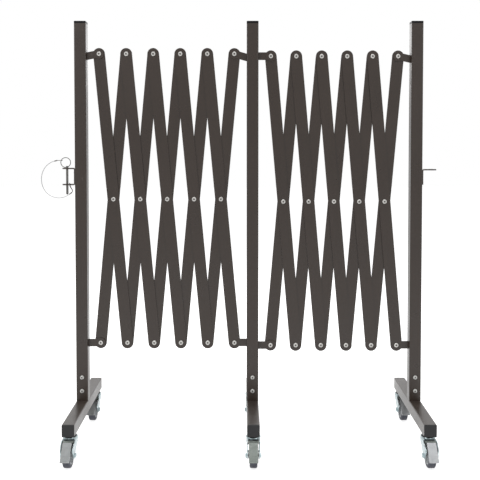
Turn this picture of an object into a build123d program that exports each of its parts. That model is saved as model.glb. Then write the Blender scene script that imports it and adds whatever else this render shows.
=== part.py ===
from build123d import *
import os
from math import cos, pi, radians, sin, tan

# An expandable safety barrier: three posts on feet with casters, joined by two scissor lattices.
# Seen from the front, +X is right, +Y goes away from the viewer and +Z is up. Sizes are in millimetres.
# The pieces are worked out about the middle post and then moved so that the origin is on the floor
# under the middle of the whole barrier.
os.makedirs("parts", exist_ok=True)

# Slats and their lean from upright, in degrees
slat_pitch = 995.0
slat_width = 40.0
slat_thick = 3.0
layer_gap = 0.4
crosses = 5
left_lean = 5.31
right_lean = 5.0
folded_lean = 2.4
open_lean = 22.0

# Rivets
rivet_diameter = 8.0
rivet_head = 15.0
rivet_head_height = 2.2
rivet_edge_share = 1 / 3
rivet_dish = 6.4
rivet_dish_depth = 1.5
rivet_fit = 0.05
rivet_seat = 0.1

# Posts
post_width = 40.0
post_wall = 2.0
post_corner = 3.0
post_head = 101.77
pivot_reach = 42.0
eye_radius = 17.0
lug_height = 26.0
left_lug_rise = 197.5
right_lug_rise = 189.0

# Slide links, their slots and guide blocks
link_tilts = {"left_outer": 11.0, "left_inner": 16.0, "right_inner": 0.0, "right_outer": 13.0}
slot_width = 5.0
slot_spare = 3.0
block_depth = 15.5
block_width = 28.0
block_height = 30.0
block_gap = 0.5
block_slit_fit = 0.15
block_pin = 4.0
block_pin_edge = 4.5

# Feet and their spigots
foot_width = 40.0
foot_length = 492.0
foot_clearance = 96.0
spigot_fit = 0.2
spigot_wall = 2.0
spigot_height = 104.0

# Plastic caps
post_cap_height = 8.0
foot_cap_height = 4.0
cap_edge = 1.2
cap_plug_wall = 2.5
cap_plug_share = 0.5

# Post bolts and their nuts. Their button heads, and the screws' too, have a round edge.
head_round_share = 0.6
bolt_diameter = 8.0
bolt_head = 14.0
bolt_head_height = 4.4
bolt_socket = 5.0
bolt_socket_depth = 2.6
bolt_length = 14.0
bolt_hole_fit = 0.2
bolt_nut = 13.0
bolt_nut_height = 6.5
bolt_rises = (35.0, 82.0)

# Casters
caster_inset = 32.0
caster_trail = 32.0
wheel_diameter = 75.0
wheel_width = 24.0
tyre_depth = 10.5
tyre_shoulder = 4.0
hub_width = 33.0
hub_boss = 19.0
hub_web = 9.0
axle_diameter = 8.0
axle_fit = 0.05
axle_hex = 13.0
axle_hex_height = 5.5
fork_sheet = 2.5
fork_play = 0.3
fork_leg_gap = 35.0
fork_shoulder_gap = 40.0
fork_waist = 58.0
fork_shoulder = 76.0
fork_bend = 5.0
fork_crown = 50.0
fork_crown_skirt = 9.0
fork_axle_land = 11.0
fork_pedal_land = 7.5
fork_nose = 21.0
stem_diameter = 12.0
stem_fit = 0.1
stem_head = 22.0
stem_head_height = 2.5
stem_top = 12.0
stem_nut = 19.0
stem_nut_height = 8.0
washer_diameter = 38.0
washer_height = 9.5

# Brake pedal, as pressed down: a plate on two cheeks over the front of the wheel, on two rivets
pedal_width = 29.0
pedal_sheet = 1.8
pedal_flange = 1.5
pedal_flange_depth = 5.0
pedal_up = 22.5
pedal_down = 42.5
pedal_corner = 2.0
pedal_gap = 3.0
pedal_slope = 45.0
pedal_pivot_forward = 22.0
pedal_pivot_up = 22.5
pedal_pivot_land = 5.5
pedal_rivet = 5.0
pedal_rivet_fit = 0.05
pedal_rivet_head = 8.0
pedal_rivet_head_height = 1.5
pedal_ridge = 2.2
pedal_ridge_pitch = 7.0
pedal_ridge_length = 19.0
pedal_ridge_rise = 0.6
pedal_ridges = 3
pedal_boss = 13.0
pedal_boss_rise = 0.8
pedal_boss_drop = 11.0
shoe_width = 18.0
shoe_high = 9.0
shoe_low = 21.0
shoe_gap = 0.5

# Clevis and tab, bent from one thickness of steel
bracket_thick = 4.0
bracket_width = 30.0
bracket_bend = 4.0
bracket_corner = 10.0
clevis_reach = 45.0
clevis_low = 743.3
clevis_high = 798.3
tab_reach = 50.0
tab_high = 794.0
tab_low = 743.0
tab_hole = 10.0
pin_reach = 30.0
screw_diameter = 5.0
screw_head = 9.5
screw_head_height = 2.9
screw_socket = 3.0
screw_socket_depth = 1.6
screw_length = 10.0
screw_spacing = 26.0
screw_fit = 0.05

# Lock pin and pull ring
pin_diameter = 8.0
pin_fit = 0.1
pin_below = 34.8
pin_nose = 2.5
pin_top_land = 2.0
pin_top_edge = 1.0
ring_diameter = 36.0
ring_wire = 2.6
ring_play = 0.7
ring_rest = 0.3
ring_lean = 17.0

# Wire lanyard. Its points are distances from the outer face of the left post and from the post's
# centre plane, and heights above the post's foot.
lanyard_wire = 2.0
lanyard_bend_share = 0.45
sleeve_diameter = 4.0
sleeve_length = 10.0
lanyard_points = [
    (-73.4, 0.0, 823.1),
    (-88.5, -0.5, 819.2),
    (-110.6, -2.0, 796.8),
    (-119.0, -4.0, 765.5),
    (-113.2, -6.0, 733.1),
    (-94.0, -8.0, 708.0),
    (-64.2, -10.4, 696.3),
    (-32.8, -12.3, 700.9),
    (-19.8, -13.0, 710.7),
]
ring_eye_points = [(-1.0, 1.0), (17.6, 4.2), (17.6, -4.2), (-1.0, -1.0)]
ring_eye_bends = [3.2, 3.2]
ring_eye_dip = 8.0
anchor_hole = 6.0
anchor_hole_reach = 18.9
anchor_hole_forward = 9.0
anchor_eye_points = [
    (-13.0, -12.3, 716.0),
    (-6.6, -11.6, 720.8),
    (-17.6, -9.2, 736.5),
    (-18.9, -9.0, 748.9),
    (-18.9, -17.6, 748.9),
    (-17.6, -17.4, 736.5),
    (-6.6, -14.8, 720.8),
    (-13.0, -14.5, 716.0),
]
anchor_eye_bends = [3.2, 5.0, 3.2, 3.2, 5.0, 3.2]

# One overrun takes every cut past the faces it goes through
overrun = 2.0

# Levels and distances that follow. A foot cap's plug reaches half of the way to the caster's stem.
foot_top = foot_clearance + foot_width
post_length = left_lug_rise + slat_pitch * cos(radians(left_lean)) + post_head
caster_reach = foot_length / 2 - caster_inset
cap_plug_depth = cap_plug_share * caster_inset
post_top = foot_top + post_length
post_inside = post_width - 2 * post_wall
pivot_offset = post_width / 2 + pivot_reach
front_layer = layer_gap / 2
back_layer = -(layer_gap / 2 + slat_thick)
outer_layer = front_layer + slat_thick + layer_gap
rivet_hole = rivet_diameter + 2 * rivet_fit
half_width = {"left": pivot_offset + crosses * slat_pitch * sin(radians(left_lean)) / 2,
              "right": pivot_offset + crosses * slat_pitch * sin(radians(right_lean)) / 2}
post_places = {"left": -2 * half_width["left"], "middle": 0.0, "right": 2 * half_width["right"]}
axle_height = wheel_diameter / 2
crown_top = foot_clearance - washer_height - fork_play
caster_rows = {"front": -caster_reach, "rear": caster_reach}
pieces = {}


def keep(piece, name, place=(0.0, 0.0, 0.0)):
    # Puts a finished piece in its place and files it under its name
    placed = piece.moved(Location(place))
    placed.label = name
    pieces[name] = placed


def group(parts):
    # Separate solids that are handled as one piece, such as a set of screws
    return Compound([solid for part in parts for solid in part.solids()])


def upright(height):
    # A horizontal plane at a height above the floor
    return Plane.XY.offset(height)


# The panels: where the pivots are. Column 0 is the panel's left end and column 5 its right end.
def column_x(side, column):
    lean = left_lean if side == "left" else right_lean
    start = post_places["left"] if side == "left" else post_places["middle"]
    return start + pivot_offset + column * slat_pitch * sin(radians(lean))


def bottom_z(side):
    return foot_top + (left_lug_rise if side == "left" else right_lug_rise)


def top_z(side, lean=None):
    rest = left_lean if side == "left" else right_lean
    return bottom_z(side) + slat_pitch * cos(radians(rest if lean is None else lean))


# Rivet along Y, from the viewer's side: a shank with two flat heads, hollow at the front
def make_rivet(height, front, back):
    face = front + rivet_seat / 2
    with BuildPart() as rivet:
        with BuildSketch(Plane.XZ.offset(back - rivet_seat / 2)):
            with Locations((0, height)):
                Circle(rivet_diameter / 2)
        extrude(amount=face - back + rivet_seat / 2)
        with BuildSketch(Plane.XZ.offset(face)):
            with Locations((0, height)):
                Circle(rivet_head / 2)
        extrude(amount=rivet_head_height)
        rim = rivet.edges().filter_by(GeomType.CIRCLE).group_by(Axis.Y)[0]
        chamfer(rim, length=rivet_edge_share * rivet_head_height)
        with BuildSketch(Plane.XZ.offset(face + rivet_head_height)):
            with Locations((0, height)):
                Circle(rivet_dish / 2)
        extrude(amount=-rivet_dish_depth, mode=Mode.SUBTRACT)
        with BuildSketch(Plane.XZ.offset(back - rivet_seat / 2)):
            with Locations((0, height)):
                Circle(rivet_head / 2)
        extrude(amount=-rivet_head_height)
    return rivet.part


# Slat, upright with its centre rivet at the origin: a flat bar with full round ends and three holes
def make_slat(layer):
    with BuildPart() as slat:
        with BuildSketch(Plane.XZ.offset(layer)):
            SlotCenterToCenter(slat_pitch, slat_width, rotation=90)
            with GridLocations(0, slat_pitch / 2, 1, 3):
                Circle(rivet_hole / 2, mode=Mode.SUBTRACT)
        extrude(amount=slat_thick)
    return slat.part


def make_panel(side):
    lean = left_lean if side == "left" else right_lean
    middle_z = (bottom_z(side) + top_z(side)) / 2
    end = slat_pitch / 2
    pair_front = front_layer + slat_thick
    for number in range(1, crosses + 1):
        place = ((column_x(side, number - 1) + column_x(side, number)) / 2, 0, middle_z)
        # The first front slat's top rivet also holds a slide link, which lies in front of it,
        # and nothing lies behind it there.
        first = number == 1
        top_rivet = make_rivet(end, outer_layer + slat_thick if first else pair_front,
                               front_layer if first else back_layer)
        rivets = [top_rivet, make_rivet(0, pair_front, back_layer), make_rivet(-end, pair_front, back_layer)]
        front_slat = group([make_slat(front_layer), *rivets])
        keep(front_slat.rotate(Axis.Y, -lean), f"{side}_front_slat_{number}", place)
        back_solids = [make_slat(back_layer)]
        if number == 1:
            back_solids.append(make_rivet(-end, pair_front, back_layer))
        if number == crosses:
            back_solids.append(make_rivet(end, pair_front, back_layer))
        keep(group(back_solids).rotate(Axis.Y, lean), f"{side}_back_slat_{number}", place)


# Slide link, with its rivet's hole at the origin and the post to its left (toward = -1) or right (1).
# Its far end is held by a pin in a guide block, which runs up and down inside the post.
def make_link(tilt, layer, toward):
    block_far = pivot_offset - post_wall - block_gap
    block_near = post_width / 2 - post_wall - block_gap
    block_x = toward * (pivot_offset - block_near + block_depth / 2)
    block_z = -abs(block_x) * tan(radians(tilt))
    link_end = pivot_offset - block_near + block_depth - block_gap
    layer_y = -(layer + slat_thick / 2)
    pin_x = toward * (link_end - block_pin_edge)
    pin_z = -abs(pin_x) * tan(radians(tilt))
    far_low = link_end * tan(radians(tilt)) + lug_height / 2
    far_high = link_end * tan(radians(tilt)) - lug_height / 2
    with BuildPart() as link:
        with BuildSketch(Plane.XZ.offset(layer)):
            Circle(eye_radius)
            with BuildLine():
                Polyline((0, lug_height / 2), (toward * link_end, -far_high),
                         (toward * link_end, -far_low), (0, -lug_height / 2), close=True)
            make_face()
            Circle(rivet_hole / 2, mode=Mode.SUBTRACT)
            with Locations((pin_x, pin_z)):
                Circle(block_pin / 2, mode=Mode.SUBTRACT)
        extrude(amount=slat_thick)
    with BuildPart() as block:
        with BuildSketch(Plane.XZ.offset(-block_width / 2)):
            with Locations((block_x, block_z)):
                Rectangle(block_depth, block_height)
        extrude(amount=block_width)
        with BuildSketch(Plane.XY.offset(block_z - block_height / 2 - overrun)):
            with Locations((block_x, layer_y)):
                Rectangle(block_depth + 2 * overrun, slat_thick + 2 * block_slit_fit)
        extrude(amount=block_height + 2 * overrun, mode=Mode.SUBTRACT)
        with BuildSketch(Plane.XZ.offset(-block_width / 2 - overrun)):
            with Locations((pin_x, pin_z)):
                Circle(block_pin / 2)
        extrude(amount=block_width + 2 * overrun, mode=Mode.SUBTRACT)
    with BuildPart() as pin:
        with BuildSketch(Plane.XZ.offset(-block_width / 2)):
            with Locations((pin_x, pin_z)):
                Circle(block_pin / 2 - rivet_fit)
        extrude(amount=block_width)
    return group([link.part, block.part, pin.part])


# Which sides of a post carry a panel: side of the post, panel, column and the layers of lug and link
post_sides = {
    "left": [(1, "left", "left_outer", front_layer, outer_layer)],
    "middle": [(-1, "left", "left_inner", back_layer, front_layer),
               (1, "right", "right_inner", front_layer, outer_layer)],
    "right": [(-1, "right", "right_outer", back_layer, front_layer)],
}
bracket_sides = {"left": -1, "right": 1}
screw_levels = {"left": (clevis_low + clevis_high) / 2, "right": (tab_low + tab_high) / 2 - bracket_bend}


def slot_ends(panel, link_name):
    # Lowest and highest edge of the slot that a slide link needs in the post's wall
    tilt = radians(link_tilts[link_name])
    wall_level = top_z(panel) - (pivot_reach + post_wall / 2) * tan(tilt)
    link_half = lug_height / 2 + post_wall * tan(tilt)
    drop = top_z(panel) - top_z(panel, open_lean)
    rise = top_z(panel, folded_lean) - top_z(panel)
    return wall_level - link_half - drop - slot_spare, wall_level + link_half + rise + slot_spare


def make_post(name):
    with BuildPart() as post:
        with BuildSketch(upright(foot_top)):
            RectangleRounded(post_width, post_width, post_corner)
            RectangleRounded(post_inside, post_inside, post_corner - post_wall, mode=Mode.SUBTRACT)
        extrude(amount=post_length)
        for toward, panel, link_name, lug_layer, link_layer in post_sides[name]:
            # Welded pivot lug at the bottom
            lug_root = post_width / 2 - post_wall / 2
            lug_middle = toward * (lug_root + pivot_offset) / 2
            with BuildSketch(Plane.XZ.offset(lug_layer)):
                with Locations((toward * pivot_offset, bottom_z(panel))):
                    Circle(eye_radius)
                with Locations((lug_middle, bottom_z(panel))):
                    Rectangle(pivot_offset - lug_root, lug_height)
                with Locations((toward * pivot_offset, bottom_z(panel))):
                    Circle(rivet_hole / 2, mode=Mode.SUBTRACT)
            extrude(amount=slat_thick)
            # Slot for the slide link at the top
            low, high = slot_ends(panel, link_name)
            with BuildSketch(Plane.YZ.offset(toward * post_width / 2)):
                with Locations((-(link_layer + slat_thick / 2), (low + high) / 2)):
                    SlotOverall(high - low + slot_width, slot_width, rotation=90)
            extrude(amount=post_wall + overrun / 2, both=True, mode=Mode.SUBTRACT)
        # Holes for the two bolts in the front wall
        with BuildSketch(Plane.XZ.offset(post_width / 2)):
            for rise in bolt_rises:
                with Locations((0, foot_top + rise)):
                    Circle(bolt_diameter / 2 + bolt_hole_fit)
        extrude(amount=post_wall + overrun / 2, both=True, mode=Mode.SUBTRACT)
        # Tapped holes for the bracket's screws in the outer wall
        if name in bracket_sides:
            level = foot_top + screw_levels[name]
            with BuildSketch(Plane.YZ.offset(bracket_sides[name] * post_width / 2)):
                with Locations((0, level)):
                    with GridLocations(0, screw_spacing, 1, 2):
                        Circle(screw_diameter / 2 + screw_fit)
            extrude(amount=post_wall + overrun / 2, both=True, mode=Mode.SUBTRACT)
    return post.part


# Foot: a square tube with a square spigot welded on top, which goes up inside the post
def make_foot():
    inside = foot_width - 2 * post_wall
    spigot = post_inside - 2 * spigot_fit
    middle = foot_clearance + foot_width / 2
    with BuildPart() as foot:
        with BuildSketch(Plane.XZ.offset(-foot_length / 2)):
            with Locations((0, middle)):
                RectangleRounded(foot_width, foot_width, post_corner)
                RectangleRounded(inside, inside, post_corner - post_wall, mode=Mode.SUBTRACT)
        extrude(amount=foot_length)
        with BuildSketch(upright(foot_top)):
            RectangleRounded(spigot, spigot, post_corner - post_wall)
            Rectangle(spigot - 2 * spigot_wall, spigot - 2 * spigot_wall, mode=Mode.SUBTRACT)
        extrude(amount=spigot_height)
        with BuildSketch(Plane.XZ.offset(spigot / 2)):
            for rise in bolt_rises:
                with Locations((0, foot_top + rise)):
                    Circle(bolt_diameter / 2 + bolt_hole_fit)
        extrude(amount=spigot_wall + overrun / 2, both=True, mode=Mode.SUBTRACT)
        with BuildSketch(upright(foot_clearance)):
            with GridLocations(0, 2 * caster_reach, 1, 2):
                Circle(stem_diameter / 2 + bolt_hole_fit)
        extrude(amount=post_wall + overrun / 2, both=True, mode=Mode.SUBTRACT)
    return foot.part


# Plastic cap for a tube's end, made upright on the origin: a rim with a hollow plug below it
def make_cap(height):
    plug = post_inside - 2 * spigot_fit
    with BuildPart() as cap:
        with BuildSketch():
            RectangleRounded(post_width, post_width, post_corner)
        extrude(amount=height)
        chamfer(cap.faces().sort_by(Axis.Z)[-1].edges(), length=cap_edge)
        with BuildSketch(Plane.XY):
            RectangleRounded(plug, plug, post_corner - post_wall)
            Rectangle(plug - 2 * cap_plug_wall, plug - 2 * cap_plug_wall, mode=Mode.SUBTRACT)
        extrude(amount=-cap_plug_depth)
    return cap.part


def make_caps():
    middle = foot_clearance + foot_width / 2
    end = foot_length / 2
    front = make_cap(foot_cap_height).rotate(Axis.X, 90).moved(Location((0, -end, middle)))
    rear = make_cap(foot_cap_height).rotate(Axis.X, -90).moved(Location((0, end, middle)))
    return group([make_cap(post_cap_height).moved(Location((0, 0, post_top))), front, rear])


# Button-head screw along Z: the underside of its head is at the origin and its head points up
def make_screw(diameter, head, head_height, socket, socket_depth, length):
    with BuildPart() as screw:
        with BuildSketch():
            Circle(head / 2)
        extrude(amount=head_height)
        fillet(screw.faces().sort_by(Axis.Z)[-1].edges(), radius=head_round_share * head_height)
        with BuildSketch(Plane.XY.offset(head_height)):
            RegularPolygon(socket / 2, 6, major_radius=False)
        extrude(amount=-socket_depth, mode=Mode.SUBTRACT)
        with BuildSketch():
            Circle(diameter / 2)
        extrude(amount=-length)
    return screw.part


def make_nut(across, bore, height):
    with BuildPart() as nut:
        with BuildSketch():
            RegularPolygon(across / 2, 6, major_radius=False)
            Circle(bore / 2 + rivet_fit, mode=Mode.SUBTRACT)
        extrude(amount=height)
    return nut.part


# Caster stem: a headed stud that the fork turns on, made with the foot's underside as its zero level
def make_stem():
    crown_bottom = -washer_height - fork_play - fork_sheet
    with BuildPart() as stem:
        with BuildSketch(Plane.XY.offset(crown_bottom - fork_play - stem_head_height)):
            Circle(stem_head / 2)
        extrude(amount=stem_head_height)
        with BuildSketch(Plane.XY.offset(crown_bottom - fork_play - stem_head_height)):
            Circle(stem_diameter / 2)
        extrude(amount=stem_top - crown_bottom + fork_play + stem_head_height)
    with BuildPart() as washer:
        with BuildSketch():
            Circle(washer_diameter / 2)
            Circle(stem_diameter / 2 + stem_fit, mode=Mode.SUBTRACT)
        extrude(amount=-washer_height)
    nut = make_nut(stem_nut, stem_diameter, stem_nut_height).moved(Location((0, 0, post_wall)))
    return group([stem.part, washer.part, nut])


def make_fixings(name):
    solids = []
    bolt = make_screw(bolt_diameter, bolt_head, bolt_head_height, bolt_socket, bolt_socket_depth, bolt_length)
    nut = make_nut(bolt_nut, bolt_diameter, bolt_nut_height)
    nut_y = -(post_inside / 2 - spigot_fit - spigot_wall)
    for rise in bolt_rises:
        solids.append(bolt.rotate(Axis.X, 90).moved(Location((0, -post_width / 2, foot_top + rise))))
        solids.append(nut.rotate(Axis.X, -90).moved(Location((0, nut_y, foot_top + rise))))
    for row in caster_rows.values():
        solids.append(make_stem().moved(Location((0, row, foot_clearance))))
    if name in bracket_sides:
        toward = bracket_sides[name]
        screw = make_screw(screw_diameter, screw_head, screw_head_height, screw_socket,
                           screw_socket_depth, screw_length).rotate(Axis.Y, toward * 90)
        for step in (-screw_spacing / 2, screw_spacing / 2):
            level = foot_top + screw_levels[name] + step
            solids.append(screw.moved(Location((toward * (post_width / 2 + bracket_thick), 0, level))))
    return group(solids)


# Caster fork, about its stem's axis with the floor as its zero level: a bent sheet that is flared
# below the crown and narrows to the axle. The wheel trails to the front.
def make_fork():
    leg_x = fork_leg_gap / 2 + fork_sheet / 2
    shoulder_x = fork_shoulder_gap / 2 + fork_sheet / 2
    crown_z = crown_top - fork_sheet / 2
    low = axle_height - fork_axle_land - overrun
    pedal_y = -(caster_trail + pedal_pivot_forward)
    pedal_z = axle_height + pedal_pivot_up
    reach = caster_trail + pedal_pivot_forward + fork_pedal_land
    with BuildPart() as fork:
        with BuildSketch(Plane.XZ):
            with BuildLine():
                FilletPolyline((-leg_x, low), (-leg_x, fork_waist), (-shoulder_x, fork_shoulder),
                               (-shoulder_x, crown_z), (shoulder_x, crown_z),
                               (shoulder_x, fork_shoulder), (leg_x, fork_waist), (leg_x, low),
                               radius=fork_bend)
            trace(line_width=fork_sheet)
        extrude(amount=reach + overrun, both=True)
        with BuildSketch(Plane.YZ):
            with Locations((0, crown_top - fork_crown_skirt / 2)):
                Rectangle(fork_crown, fork_crown_skirt)
            with Locations((-caster_trail, axle_height)):
                Circle(fork_axle_land)
            with Locations((pedal_y, pedal_z)):
                Circle(fork_pedal_land)
            make_hull()
        extrude(amount=fork_crown, both=True, mode=Mode.INTERSECT)
        with BuildSketch():
            Circle(fork_crown / 2)
            with Locations((0, -reach / 2)):
                Rectangle(2 * fork_nose, reach)
            make_hull()
        extrude(amount=foot_clearance, mode=Mode.INTERSECT)
        with BuildSketch(upright(crown_top)):
            Circle(stem_diameter / 2 + stem_fit)
        extrude(amount=-fork_sheet - overrun, mode=Mode.SUBTRACT)
        with BuildSketch(Plane.YZ):
            with Locations((-caster_trail, axle_height)):
                Circle(axle_diameter / 2 + axle_fit)
            with Locations((pedal_y, pedal_z)):
                Circle(pedal_rivet / 2 + axle_fit)
        extrude(amount=fork_crown, both=True, mode=Mode.SUBTRACT)
    leg_outside = fork_leg_gap / 2 + fork_sheet
    with BuildPart() as axle:
        with BuildSketch(Plane.YZ.offset(-leg_outside)):
            with Locations((-caster_trail, axle_height)):
                Circle(axle_diameter / 2)
        extrude(amount=2 * leg_outside + axle_hex_height)
        with BuildSketch(Plane.YZ.offset(-leg_outside)):
            with Locations((-caster_trail, axle_height)):
                RegularPolygon(axle_hex / 2, 6, major_radius=False)
        extrude(amount=-axle_hex_height)
    nut = make_nut(axle_hex, axle_diameter, axle_hex_height).rotate(Axis.Y, 90)
    nut = nut.moved(Location((leg_outside, -caster_trail, axle_height)))
    rivets = []
    for toward in (-1, 1):
        inner = pedal_width / 2 - pedal_flange
        with BuildPart() as rivet:
            with BuildSketch(Plane.YZ.offset(toward * inner)):
                with Locations((pedal_y, pedal_z)):
                    Circle(pedal_rivet / 2)
            extrude(amount=toward * (leg_outside - inner))
            with BuildSketch(Plane.YZ.offset(toward * leg_outside)):
                with Locations((pedal_y, pedal_z)):
                    Circle(pedal_rivet_head / 2)
            extrude(amount=toward * pedal_rivet_head_height)
        rivets.append(rivet.part)
    return group([fork.part, axle.part, nut, *rivets])


# Wheel on the X axis: a rubber tyre with round shoulders, bonded on a plastic hub
def make_wheel():
    rim = wheel_diameter / 2 - tyre_depth
    with BuildPart() as tyre:
        with BuildSketch(Plane.XY.offset(0)):
            with Locations((0, wheel_diameter / 2 - tyre_depth / 2)):
                Rectangle(wheel_width, tyre_depth)
        revolve(axis=Axis.X)
        rounds = tyre.edges().filter_by(GeomType.CIRCLE)
        fillet([edge for edge in rounds if edge.radius > rim + tyre_shoulder], radius=tyre_shoulder)
    with BuildPart() as hub:
        with BuildSketch(Plane.XY.offset(0)):
            with Locations((0, rim / 2)):
                Rectangle(hub_web, rim)
            with Locations((0, hub_boss / 4)):
                Rectangle(hub_width, hub_boss / 2)
            with Locations((0, rim - tyre_shoulder / 2)):
                Rectangle(wheel_width, tyre_shoulder)
            with Locations((0, (axle_diameter / 2 + axle_fit) / 2)):
                Rectangle(hub_width + overrun, axle_diameter / 2 + axle_fit, mode=Mode.SUBTRACT)
        revolve(axis=Axis.X)
    return group([tyre.part, hub.part]).moved(Location((0, -caster_trail, axle_height)))


# Brake pedal, about the same place as the fork: a plate with a dimple and three foot ridges, two
# cheeks under its edges, which the rivets go through, and the shoe that presses on the tyre
def make_pedal():
    slope = radians(pedal_slope)
    outward = Vector(0, -cos(slope), sin(slope))
    axle = Vector(0, -caster_trail, axle_height)
    pivot = Vector(0, -(caster_trail + pedal_pivot_forward), axle_height + pedal_pivot_up)
    touch = axle + outward * (wheel_diameter / 2 + pedal_gap)
    face = Plane(origin=touch, x_dir=(1, 0, 0), z_dir=outward)
    place = face.to_local_coords(pivot)
    side = Plane(origin=touch, x_dir=face.y_dir, z_dir=(1, 0, 0))
    depth = place.Z
    length = pedal_up + pedal_down
    middle = (pedal_up - pedal_down) / 2
    with BuildPart() as plate:
        with BuildSketch(face):
            with Locations((0, middle)):
                RectangleRounded(pedal_width, length, pedal_corner)
        extrude(amount=pedal_sheet)
        with BuildSketch(face.offset(pedal_sheet)):
            for number in range(pedal_ridges):
                with Locations((0, -pedal_down + pedal_ridge_pitch * (number + 1))):
                    Rectangle(pedal_ridge_length, pedal_ridge)
        extrude(amount=pedal_ridge_rise)
        with BuildSketch(face.offset(pedal_sheet)):
            with Locations((0, pedal_up - pedal_boss_drop)):
                Circle(pedal_boss / 2)
        extrude(amount=pedal_boss_rise)
    with BuildPart() as cheek:
        with BuildSketch(side):
            with Locations((middle, -pedal_flange_depth / 2)):
                Rectangle(length - 2 * pedal_corner, pedal_flange_depth)
            with BuildLine():
                Polyline((place.Y - 2 * pedal_pivot_land, 0), (place.Y - pedal_pivot_land, depth),
                         (place.Y + pedal_pivot_land, depth), (place.Y + 2 * pedal_pivot_land, 0),
                         close=True)
            make_face()
            with Locations((place.Y, depth)):
                Circle(pedal_pivot_land)
            with Locations((place.Y, depth)):
                Circle(pedal_rivet / 2 + pedal_rivet_fit, mode=Mode.SUBTRACT)
        extrude(amount=pedal_flange)
    starts = (-pedal_width / 2, pedal_width / 2 - pedal_flange)
    cheeks = [cheek.part.moved(Location((start, 0, 0))) for start in starts]
    with BuildPart() as shoe:
        with BuildSketch(side.offset(-shoe_width / 2)):
            with Locations((-(shoe_high + shoe_low) / 2, -pedal_gap)):
                Rectangle(shoe_low - shoe_high, 2 * pedal_gap)
            with Locations((0, -(wheel_diameter / 2 + pedal_gap))):
                Circle(wheel_diameter / 2 + shoe_gap, mode=Mode.SUBTRACT)
        extrude(amount=shoe_width)
    return group([plate.part, *cheeks, shoe.part])


# Clevis on the left post's outer face: a bent strip with two arms, about the post's axis
def make_clevis():
    face = post_width / 2
    back = face + bracket_thick / 2
    low, high = foot_top + clevis_low, foot_top + clevis_high
    middle = (low + high) / 2
    with BuildPart() as clevis:
        with BuildSketch(Plane.XZ.offset(-bracket_width / 2)):
            with BuildLine():
                FilletPolyline((-face - clevis_reach, low), (-back, low), (-back, high),
                               (-face - clevis_reach, high), radius=bracket_bend)
            trace(line_width=bracket_thick)
        extrude(amount=bracket_width)
        corners = clevis.edges().filter_by(Axis.Z).group_by(Axis.X)[0]
        fillet(corners, radius=bracket_corner)
        with BuildSketch(upright(low - overrun)):
            with Locations((-face - pin_reach, 0)):
                Circle(pin_diameter / 2 + pin_fit)
        extrude(amount=high - low + bracket_thick + overrun, mode=Mode.SUBTRACT)
        with BuildSketch(upright(low)):
            with Locations((-face - anchor_hole_reach, -anchor_hole_forward)):
                Circle(anchor_hole / 2)
        extrude(amount=bracket_thick, both=True, mode=Mode.SUBTRACT)
        with BuildSketch(Plane.YZ.offset(-face)):
            with Locations((0, middle)):
                with GridLocations(0, screw_spacing, 1, 2):
                    Circle(screw_diameter / 2 + screw_fit)
        extrude(amount=-bracket_thick - overrun, mode=Mode.SUBTRACT)
    return clevis.part


# Tab on the right post's outer face, which goes into the next barrier's clevis
def make_tab():
    face = post_width / 2
    back = face + bracket_thick / 2
    low, high = foot_top + tab_low, foot_top + tab_high
    with BuildPart() as tab:
        with BuildSketch(Plane.XZ.offset(-bracket_width / 2)):
            with BuildLine():
                FilletPolyline((back, low), (back, high), (face + tab_reach, high), radius=bracket_bend)
            trace(line_width=bracket_thick)
        extrude(amount=bracket_width)
        corners = tab.edges().filter_by(Axis.Z).group_by(Axis.X)[-1]
        fillet(corners, radius=bracket_corner)
        with BuildSketch(upright(high)):
            with Locations((face + pin_reach, 0)):
                Circle(tab_hole / 2)
        extrude(amount=bracket_thick, both=True, mode=Mode.SUBTRACT)
        with BuildSketch(Plane.YZ.offset(face)):
            with Locations((0, foot_top + screw_levels["right"])):
                with GridLocations(0, screw_spacing, 1, 2):
                    Circle(screw_diameter / 2 + screw_fit)
        extrude(amount=bracket_thick + overrun, mode=Mode.SUBTRACT)
    return tab.part


# Lock pin in the clevis, with a cross hole at its top for the ring, which stands on the upper arm
ring_radius = ring_diameter / 2 - ring_wire / 2
ring_hole = ring_wire + 2 * ring_play
arm_top = foot_top + clevis_high + bracket_thick / 2
ring_rise = ring_radius * cos(radians(ring_lean))
ring_middle_z = arm_top + ring_rest + ring_diameter / 2
pin_hole_z = ring_middle_z - ring_rise
pin_x = -(post_width / 2 + pin_reach)
ring_x = pin_x - ring_radius * sin(radians(ring_lean))


def make_pin():
    low = foot_top + clevis_low - pin_below
    high = pin_hole_z + ring_hole / 2 + pin_top_land
    tangent = Vector(cos(radians(ring_lean)), 0, sin(radians(ring_lean)))
    across = Plane(origin=(pin_x, 0, pin_hole_z), x_dir=(0, 1, 0), z_dir=tangent)
    with BuildPart() as pin:
        with BuildSketch(upright(low)):
            with Locations((pin_x, 0)):
                Circle(pin_diameter / 2)
        extrude(amount=high - low)
        chamfer(pin.faces().sort_by(Axis.Z)[0].edges(), length=pin_nose)
        fillet(pin.faces().sort_by(Axis.Z)[-1].edges(), radius=pin_top_edge)
        with BuildSketch(across):
            Circle(ring_hole / 2)
        extrude(amount=pin_diameter, both=True, mode=Mode.SUBTRACT)
    return pin.part


# Wire eye: a loop of wire that comes out of a crimped sleeve and goes back in
def make_eye(points, bends, sleeve_plane):
    with BuildLine() as loop:
        FilletPolyline(*points, radius=bends)
    with BuildPart() as eye:
        with BuildSketch(sleeve_plane):
            Circle(sleeve_diameter / 2)
        extrude(amount=-sleeve_length)
        with BuildSketch(Plane(origin=loop.line @ 0, z_dir=loop.line % 0)):
            Circle(lanyard_wire / 2)
        sweep(path=loop.line)
    return eye.part


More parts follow.
